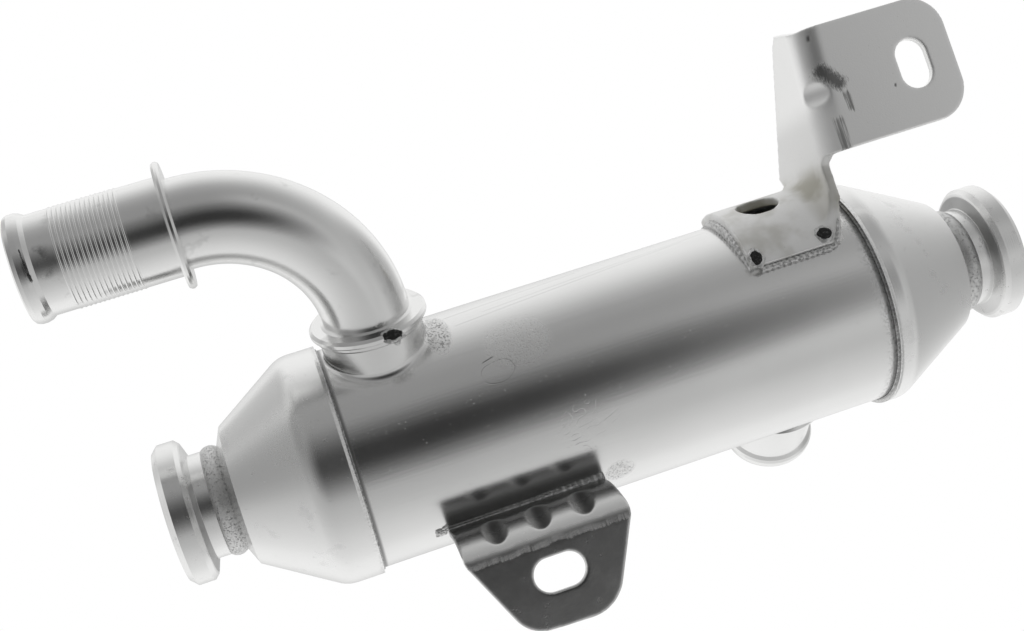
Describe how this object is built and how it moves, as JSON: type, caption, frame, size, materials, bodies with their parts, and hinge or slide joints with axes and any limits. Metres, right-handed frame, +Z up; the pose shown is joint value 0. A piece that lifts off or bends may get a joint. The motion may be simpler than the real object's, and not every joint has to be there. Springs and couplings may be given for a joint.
{
  "type": "exhaust gas cooler",
  "caption": "Round steel exhaust gas cooler with a clamp flange at each end, a bent coolant inlet, a straight coolant outlet and slotted mounting brackets.",
  "frame": {"origin": "centre of the gas inlet bore at the inlet flange's face", "axes": "+X along the shell from the gas inlet to the gas outlet, +Z up in the plane of the bracket plates, -Y the way the bracket plates face"},
  "size_m": [0.2521, 0.1113, 0.138],
  "materials": {
    "shell_steel": "satin stainless steel",
    "cone_steel": "bright pressed stainless steel",
    "flange_steel": "turned stainless steel",
    "weld_metal": "rough weld bead",
    "inner_steel": "plain stainless steel, hidden",
    "pipe_steel": "satin stainless steel",
    "upper_bracket_steel": "matt sheet steel",
    "lower_bracket_steel": "matt sheet steel"
  },
  "bodies": {
    "root": {"shell": "shell_steel", "inlet_cone": "cone_steel", "outlet_cone": "cone_steel", "inlet_flange": "flange_steel", "outlet_flange": "flange_steel", "inlet_weld": "weld_metal", "outlet_weld": "weld_metal", "inlet_tube_sheet": "inner_steel", "outlet_tube_sheet": "inner_steel", "coolant_inlet_pipe": "pipe_steel", "coolant_outlet_pipe": "pipe_steel", "upper_bracket": "upper_bracket_steel", "lower_bracket": "lower_bracket_steel", "gas_tube_01": "inner_steel", "gas_tube_02": "inner_steel", "gas_tube_03": "inner_steel", "gas_tube_04": "inner_steel", "gas_tube_05": "inner_steel", "gas_tube_06": "inner_steel", "gas_tube_07": "inner_steel", "gas_tube_08": "inner_steel", "gas_tube_09": "inner_steel", "gas_tube_10": "inner_steel", "gas_tube_11": "inner_steel", "gas_tube_12": "inner_steel", "gas_tube_13": "inner_steel", "gas_tube_14": "inner_steel", "gas_tube_15": "inner_steel", "gas_tube_16": "inner_steel", "gas_tube_17": "inner_steel", "gas_tube_18": "inner_steel", "gas_tube_19": "inner_steel"}
  },
  "joints": []
}
